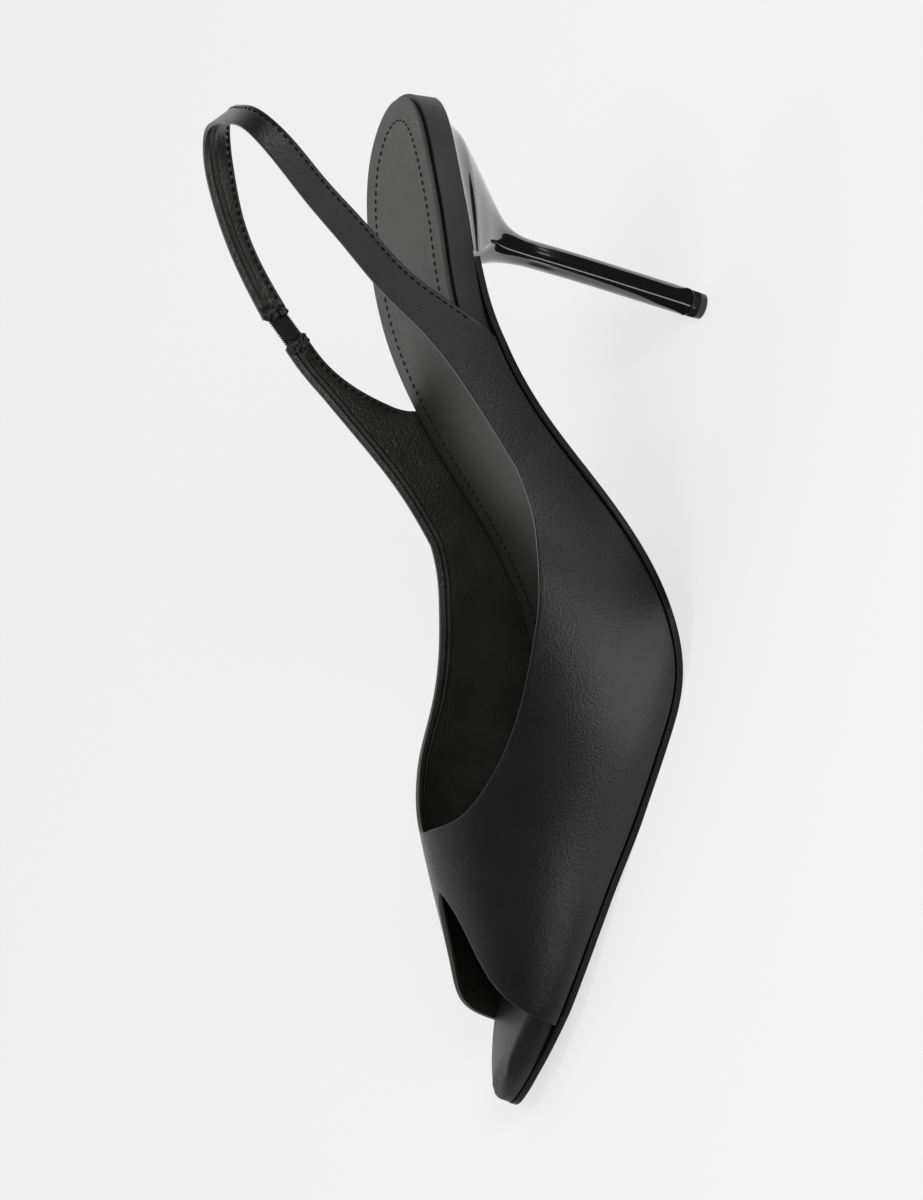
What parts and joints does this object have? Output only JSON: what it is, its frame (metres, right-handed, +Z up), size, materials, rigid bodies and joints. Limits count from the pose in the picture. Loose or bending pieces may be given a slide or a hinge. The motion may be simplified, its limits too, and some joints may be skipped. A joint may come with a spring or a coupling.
{
  "type": "slingback sandal",
  "caption": "Left slingback sandal with a peep toe, a narrow strap round the heel with an elastic link, an arched sole, a padded insole and a slim high heel.",
  "frame": {"origin": "centre of the footprint of the bounding box, on the plane that the shoe stands on", "axes": "+Z up, +Y along the shoe from toe to heel, +X towards the outer (lateral) side of this left shoe"},
  "size_m": [0.0776, 0.2424, 0.142],
  "materials": {
    "outsole_gloss": "glossy black edge and tread",
    "insole_leather": "matte black leather wrap",
    "sock_leather": "satin dark charcoal leather",
    "upper_leather": "semi-matte black leather with a fine grain",
    "elastic_webbing": "matte ribbed webbing",
    "heel_lacquer": "smooth glossy black lacquer",
    "top_piece_rubber": "satin black rubber"
  },
  "bodies": {
    "root": {"outsole": "outsole_gloss", "insole": "insole_leather", "sock": "sock_leather", "upper": "upper_leather", "elastic": "elastic_webbing", "heel": "heel_lacquer", "top_piece": "top_piece_rubber"}
  },
  "joints": []
}
